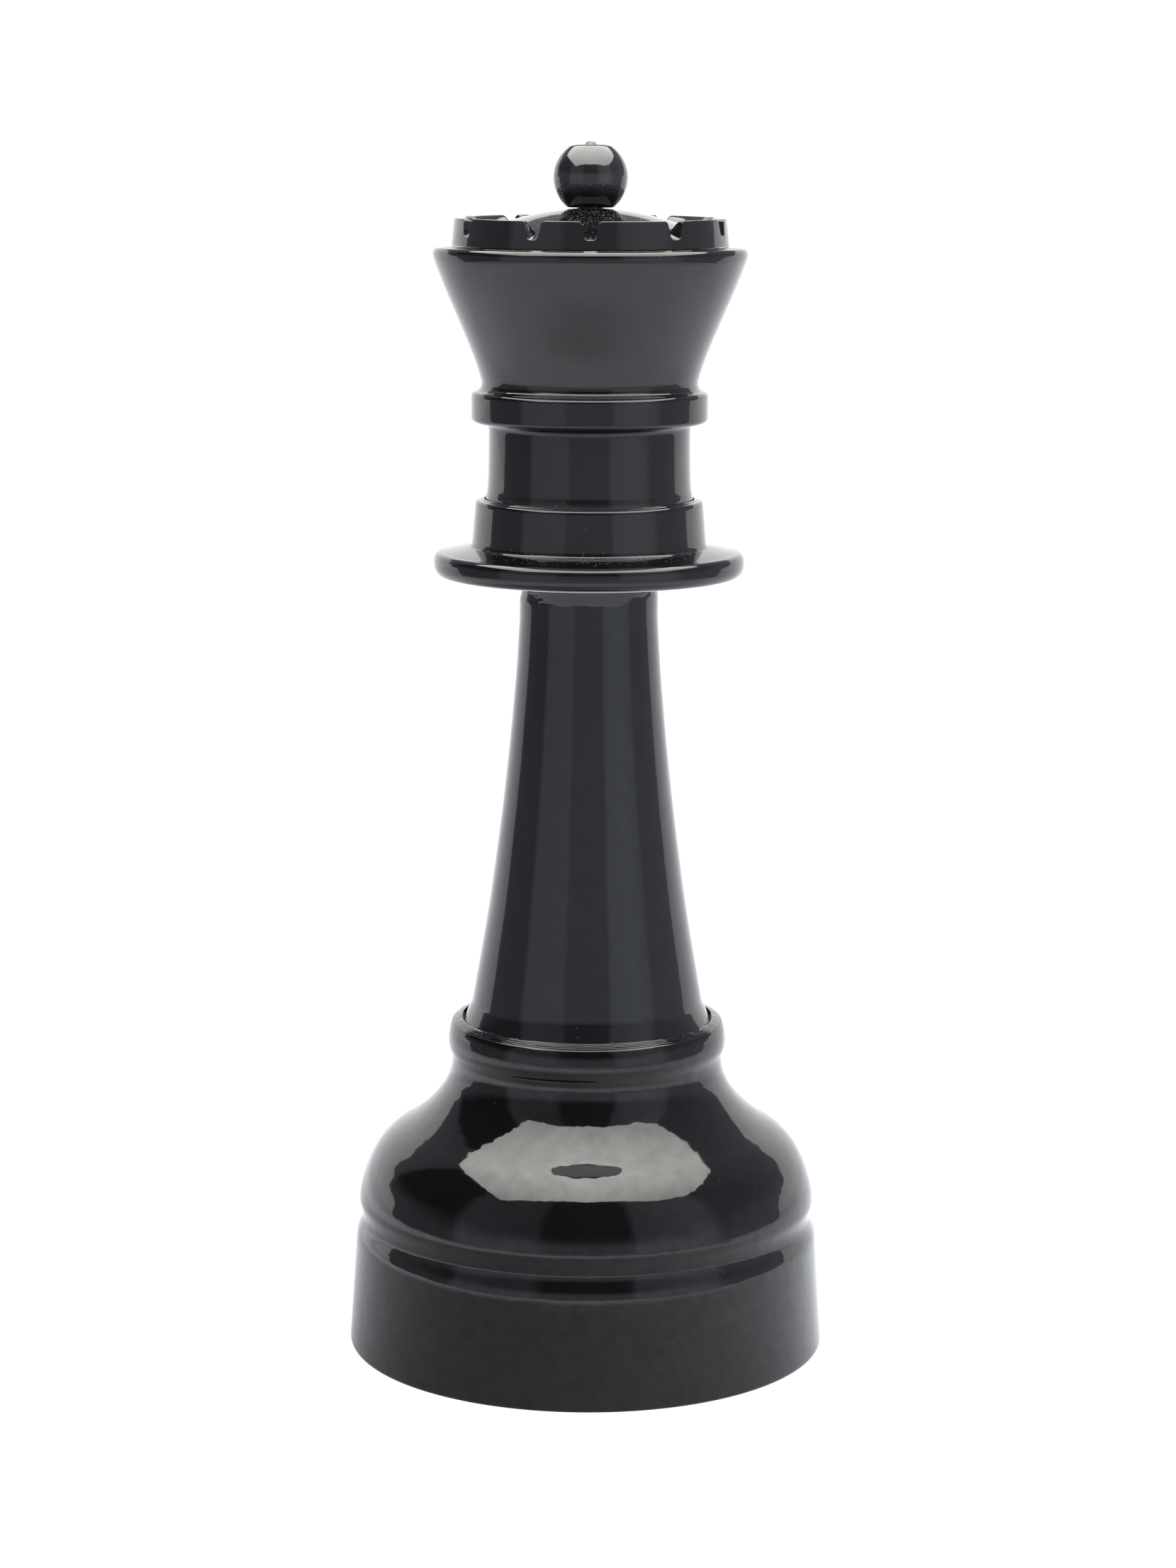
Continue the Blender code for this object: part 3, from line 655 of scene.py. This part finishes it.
def glow(name, strength, colour=(1, 1, 1, 1)):
    """An even emitter."""
    made = bpy.data.materials.new(name)
    made.use_nodes = True
    tree = made.node_tree
    tree.nodes.clear()
    lamp = add(tree, "ShaderNodeEmission", Color=colour, Strength=strength)
    add(tree, "ShaderNodeOutputMaterial", Surface=lamp.outputs[0])
    return made, tree, lamp


def overhead_softbox():
    """Softbox with cut corners above the piece, brightest in its middle."""
    height = 1.4
    plan = [(-1.13, -0.84), (-0.3, -0.93), (0.0, -1.0), (0.3, -0.93), (0.92, -0.86), (1.2, -0.5), (1.1, 0.0)]
    plan += [(0.92, 0.5), (0.5, 0.88), (-0.42, 0.96), (-0.93, 0.62), (-0.97, 0.2)]
    material, tree, lamp = glow("softbox_cloth", 7.0, (0.99, 1.0, 0.95, 1))
    place = add(tree, "ShaderNodeTexCoord").outputs["Object"]
    flat = add(tree, "ShaderNodeVectorMath", {"operation": "MULTIPLY"}, _0=place, _1=(1, 1, 0)).outputs[0]
    away = add(tree, "ShaderNodeVectorMath", {"operation": "LENGTH"}, _0=flat).outputs["Value"]
    falloff = add(
        tree, "ShaderNodeMapRange", Value=away, From_Min=0.1, From_Max=1.3, To_Min=7.8, To_Max=4.5
    )
    tree.links.new(falloff.outputs[0], lamp.inputs["Strength"])
    card("overhead_softbox", [(x, y, height) for x, y in plan], material)


def backdrop():
    """White paper behind the piece, with the stepped outline of the screens beside it."""
    outline = [(-7.4, -0.05), (-7.4, 0.5), (-4.6, 0.7), (-4.6, 1.3), (-3.7, 1.45), (-2.8, 2.3)]
    outline += [(-2.2, 1.75), (0, 1.6), (2.1, 1.75), (2.3, 2.0), (3.1, 1.35), (4.0, 0.9), (7.2, 0.5)]
    outline += [(7.2, -0.05)]
    material = glow("backdrop_paper", 1.45)[0]
    card("backdrop", [(x, 3.0, z) for x, z in outline], material)


def flange_bounce():
    """A pale ring just under the flange, seen in reflections: it greys the dark spot in the bell's shine."""
    inner_radius, outer_radius, height = 0.0345, 0.0715, 0.3746
    work = bmesh.new()
    ends = [work.verts.new((inner_radius, 0, height)), work.verts.new((outer_radius, 0, height))]
    line = work.edges.new(ends)
    bmesh.ops.spin(work, geom=ends + [line], cent=(0, 0, 0), axis=(0, 0, 1), angle=2 * math.pi, steps=64)
    bmesh.ops.remove_doubles(work, verts=work.verts, dist=2e-6)
    ring = stage_piece("flange_bounce", work, glow("bounce_light", 1.45, (0.96, 1.0, 1.05, 1))[0])
    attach(ring, "collar")


def pale_floor():
    """Seen in reflections only: dimmer close to the piece and towards its front left."""
    material, tree, lamp = glow("floor_paper", 1.0, (0.965, 0.99, 1.045, 1))
    place = add(tree, "ShaderNodeTexCoord").outputs["Object"]
    flat = add(tree, "ShaderNodeVectorMath", {"operation": "MULTIPLY"}, _0=place, _1=(1, 1, 0)).outputs[0]
    away = add(tree, "ShaderNodeVectorMath", {"operation": "LENGTH"}, _0=flat).outputs["Value"]
    way = add(tree, "ShaderNodeVectorMath", {"operation": "NORMALIZE"}, _0=flat).outputs[0]
    dot = {"operation": "DOT_PRODUCT"}
    smooth = {"interpolation_type": "SMOOTHSTEP"}
    near = add(tree, "ShaderNodeVectorMath", dot, _0=way, _1=(0.30, 0.42, 0)).outputs["Value"]
    near = add(tree, "ShaderNodeMath", {"operation": "ADD"}, _0=near, _1=1.08).outputs[0]
    far = add(tree, "ShaderNodeVectorMath", dot, _0=way, _1=(0.05, 0.35, 0)).outputs["Value"]
    far = add(tree, "ShaderNodeMath", {"operation": "ADD"}, _0=far, _1=1.1).outputs[0]
    first = add(tree, "ShaderNodeMapRange", smooth, Value=away, From_Min=0.34, From_Max=0.58).outputs[0]
    last = add(tree, "ShaderNodeMapRange", smooth, Value=away, From_Min=0.8, From_Max=1.2).outputs[0]
    tone = add(tree, "ShaderNodeMix", {"data_type": "FLOAT"}, Factor=first, _2=near, _3=1.5).outputs[0]
    tone = add(tree, "ShaderNodeMix", {"data_type": "FLOAT"}, Factor=last, _2=tone, _3=far).outputs[0]
    tree.links.new(tone, lamp.inputs["Strength"])
    plan = [(-1.3, -2.2), (1.3, -2.2), (1.3, 0.4), (7.2, 3), (-7.4, 3), (-1.3, 0.4)]
    corners = [(x, y, -0.2 * MM) for x, y in plan]
    card("pale_floor", corners, material)


def studio_walls():
    """The dim room round the piece: two soft screens each side of the camera, the right one brighter."""
    world = bpy.data.worlds.new("studio")
    bpy.context.scene.world = world
    world.use_nodes = True
    tree = world.node_tree
    tree.nodes.clear()
    way = add(tree, "ShaderNodeTexCoord").outputs["Generated"]
    parts = add(tree, "ShaderNodeSeparateXYZ", Vector=way)
    toward = add(tree, "ShaderNodeMath", {"operation": "MULTIPLY"}, _0=parts.outputs["Y"], _1=-1.0).outputs[0]
    azimuth = add(tree, "ShaderNodeMath", {"operation": "ARCTAN2"}, _0=parts.outputs["X"], _1=toward)
    share = add(
        tree, "ShaderNodeMapRange", Value=azimuth.outputs[0], From_Min=-math.pi, From_Max=math.pi
    ).outputs[0]
    upper = [(-180, 0.36), (-124, 0.30), (-120, 0.06), (-72, 0.07), (-66, 0.36), (-26, 0.30), (-21, 0.10)]
    upper += [(21, 0.12), (26, 0.46), (60, 0.70), (66, 0.68), (73, 0.36), (120, 0.36), (140, 0.36)]
    lower = [(-180, 0.40), (-126, 0.45), (-120, 0.28), (-72, 0.34), (-66, 0.72), (-26, 0.80), (-21, 0.58)]
    lower += [(21, 0.60), (26, 0.95), (50, 1.05), (66, 0.90), (73, 0.60), (120, 0.46), (140, 0.40)]
    ramps = []
    for tones in (upper, lower):
        ramp = add(tree, "ShaderNodeValToRGB", Fac=share)
        points = ramp.color_ramp.elements
        while len(points) < len(tones):
            points.new(0.5)
        for point, (degrees, tone) in zip(points, tones):
            point.position = (degrees + 180) / 360
            point.color = (tone * 0.94, tone, tone * 1.1, 1)
        ramps.append(ramp.outputs[0])
    lift = add(
        tree, "ShaderNodeMapRange", {"interpolation_type": "SMOOTHSTEP"}, Value=parts.outputs["Z"],
        From_Min=0.08, From_Max=0.32,
    ).outputs[0]
    tone = add(tree, "ShaderNodeMix", {"data_type": "RGBA"}, Factor=lift, _6=ramps[1], _7=ramps[0]).outputs[2]
    seen = add(tree, "ShaderNodeLightPath").outputs["Is Camera Ray"]
    room = add(tree, "ShaderNodeBackground", Color=tone, Strength=1.0)
    white = add(tree, "ShaderNodeBackground", Color=(1, 1, 1, 1), Strength=1.2)
    mixed = add(tree, "ShaderNodeMixShader", Fac=seen, _1=room.outputs[0], _2=white.outputs[0])
    add(tree, "ShaderNodeOutputWorld", Surface=mixed.outputs[0])


def main():
    bpy.context.scene.view_settings.view_transform = "Standard"
    aim_camera()
    overhead_softbox()
    backdrop()
    flange_bounce()
    pale_floor()
    studio_walls()
    base_black = polyethylene("black_polyethylene_base", "#050506", 6.5, 0.036, 0.045, 0.11)
    stem_black = polyethylene("black_polyethylene_stem", "#0f1012", 9.0, 0.02, 0.055, 0.05)
    crown_black = polyethylene("black_polyethylene_crown", "#0a0a0c", 8.0, 0.016, 0.05, 0.03)
    cap_black = polyethylene("black_polyethylene_cap", "#0a0a0c", 7.0, 0.012, 0.05, 0.03)
    ball_black = polyethylene("black_polyethylene_ball", "#18191c", 4.0, 0.001, 0.035, 0.03, 1.6)
    base_shell(base_black)
    stem_column(stem_black)
    crown_collar(crown_black)
    crown_cup(crown_black)
    coronet_cap(cap_black)
    ball_finial(ball_black)
    filler_plug(satin_plastic())
    for node, finish in (("plug_gasket", gasket_rubber()), ("sand_ballast", dry_sand())):
        for material_slot in bpy.data.objects[node].material_slots:
            material_slot.material = finish


main()
